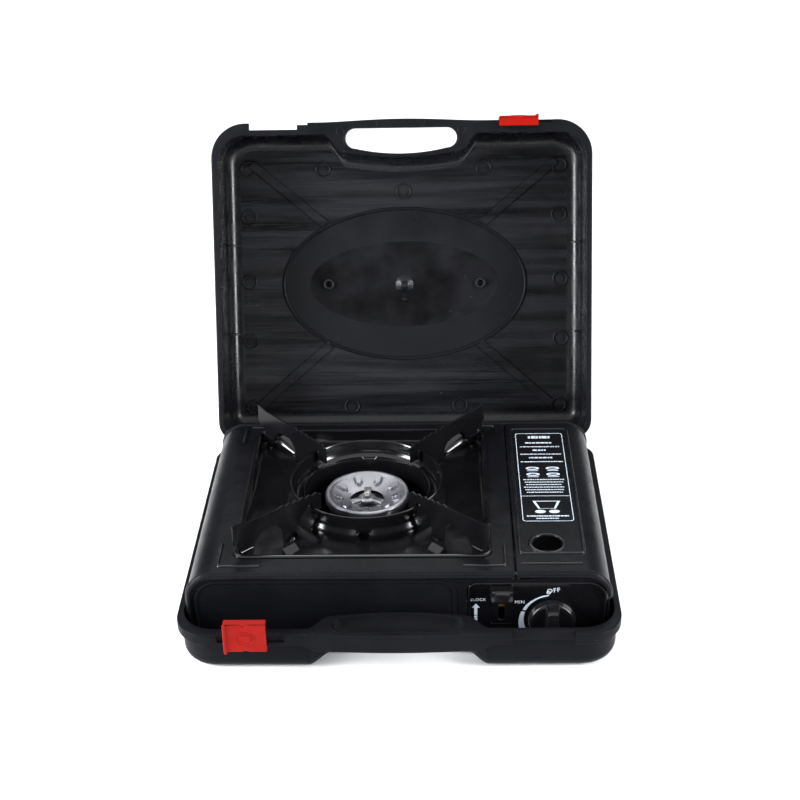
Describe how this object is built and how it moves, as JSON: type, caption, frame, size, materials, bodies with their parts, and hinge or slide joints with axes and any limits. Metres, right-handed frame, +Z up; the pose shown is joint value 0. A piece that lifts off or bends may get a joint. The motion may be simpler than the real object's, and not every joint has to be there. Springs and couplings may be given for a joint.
{
  "type": "camping stove",
  "caption": "Portable cartridge gas stove with a toothed four-arm pan support and drip tray, standing in the lower half of its open moulded carrying case with sliding latches.",
  "frame": {"origin": "centre of the carrying case's flat underside", "axes": "+X to the right towards the cartridge side, +Y back towards the case hinge, +Z up"},
  "size_m": [0.362, 0.4746, 0.3381],
  "materials": {
    "case_plastic": "moulded, fine satin grain",
    "latch_red": "satin moulded red",
    "body_enamel": "semi-matt black powder coat",
    "tray_enamel": "glossy black enamel",
    "gloss_black": "polished black with pale printed marks",
    "knob_black": "satin moulded black",
    "zinc_steel": "zinc plated",
    "port_steel": "dark, heat stained",
    "cast_aluminium": "die cast, tumbled",
    "brass": "turned",
    "ceramic": "glazed white ceramic",
    "rubber_black": "matt"
  },
  "bodies": {
    "case": {"case_base": "case_plastic", "hinge_pin_left": "zinc_steel", "hinge_pin_right": "zinc_steel"},
    "lid": {"case_lid": "case_plastic"},
    "base_latch": {"base_latch": "latch_red"},
    "lid_latch": {"lid_latch": "latch_red"},
    "stove": {"main_casing": "body_enamel", "front_panel": "body_enamel", "rear_panel": "body_enamel", "bottom_pan": "body_enamel", "right_sill": "body_enamel", "cover_rod": "zinc_steel", "heat_shield": "zinc_steel", "bay_bulkhead": "zinc_steel", "control_panel": "gloss_black", "gas_regulator": "zinc_steel", "nozzle_receiver": "brass", "gas_pipe": "brass", "jet_holder": "brass", "mixing_tube": "zinc_steel", "burner_cup": "cast_aluminium", "flame_ring": "port_steel", "burner_head": "cast_aluminium", "cap_screw": "brass", "burner_stand": "zinc_steel", "piezo_igniter": "knob_black", "ignition_wire": "rubber_black", "spark_electrode": "ceramic", "electrode_bracket": "zinc_steel", "cartridge_cradle": "zinc_steel", "pusher_spring": "zinc_steel", "foot_front_left": "rubber_black", "foot_front_right": "rubber_black", "foot_rear_left": "rubber_black", "foot_rear_right": "rubber_black", "rear_screw_1": "zinc_steel", "rear_screw_2": "zinc_steel", "rear_screw_3": "zinc_steel", "rear_screw_4": "zinc_steel"},
    "cover": {"cartridge_cover": "body_enamel"},
    "knob": {"knob": "knob_black", "valve_stem": "zinc_steel"},
    "lever": {"lock_lever": "knob_black", "lever_plate": "zinc_steel"},
    "pusher": {"pusher_rod": "zinc_steel", "pusher_plate": "zinc_steel"},
    "cook_top": {"drip_tray": "tray_enamel", "windshield_ring": "tray_enamel", "support_front_left": "tray_enamel", "support_front_right": "tray_enamel", "support_rear_left": "tray_enamel", "support_rear_right": "tray_enamel"}
  },
  "joints": [
    {"name": "lid_hinge", "type": "hinge", "parent": "case", "child": "lid", "pos_m": [0, 0.154, 0.0403], "axis": [1, 0, 0], "range_deg": [0, 110]},
    {"name": "base_latch_slide", "type": "slide", "parent": "case", "child": "base_latch", "axis": [1, 0, 0], "range_m": [0, 0.015]},
    {"name": "lid_latch_slide", "type": "slide", "parent": "lid", "child": "lid_latch", "axis": [-1, 0, 0], "range_m": [-0.0095, 0.009]},
    {"name": "stove_lift", "type": "slide", "parent": "case", "child": "stove", "axis": [0, 0, -1], "range_m": [-0.12, 0]},
    {"name": "cook_top_lift", "type": "slide", "parent": "stove", "child": "cook_top", "axis": [0, 0, -1], "range_m": [-0.08, 0]},
    {"name": "cover_hinge", "type": "hinge", "parent": "stove", "child": "cover", "pos_m": [0.1705, 0, 0.048], "axis": [0, -1, 0], "range_deg": [-100, 0]},
    {"name": "knob_turn", "type": "hinge", "parent": "stove", "child": "knob", "pos_m": [0.125, -0.12, 0.0285], "axis": [0, 1, 0], "range_deg": [-190, 0]},
    {"name": "lever_slide", "type": "slide", "parent": "stove", "child": "lever", "axis": [0, 0, -1], "range_m": [0, 0.021]},
    {"name": "pusher_slide", "type": "slide", "parent": "stove", "child": "pusher", "axis": [0, -1, 0], "range_m": [0, 0.007]}
  ],
  "couplings": [
    {"joint": "pusher_slide", "follows": "lever_slide", "ratio": 0.3333}
  ]
}
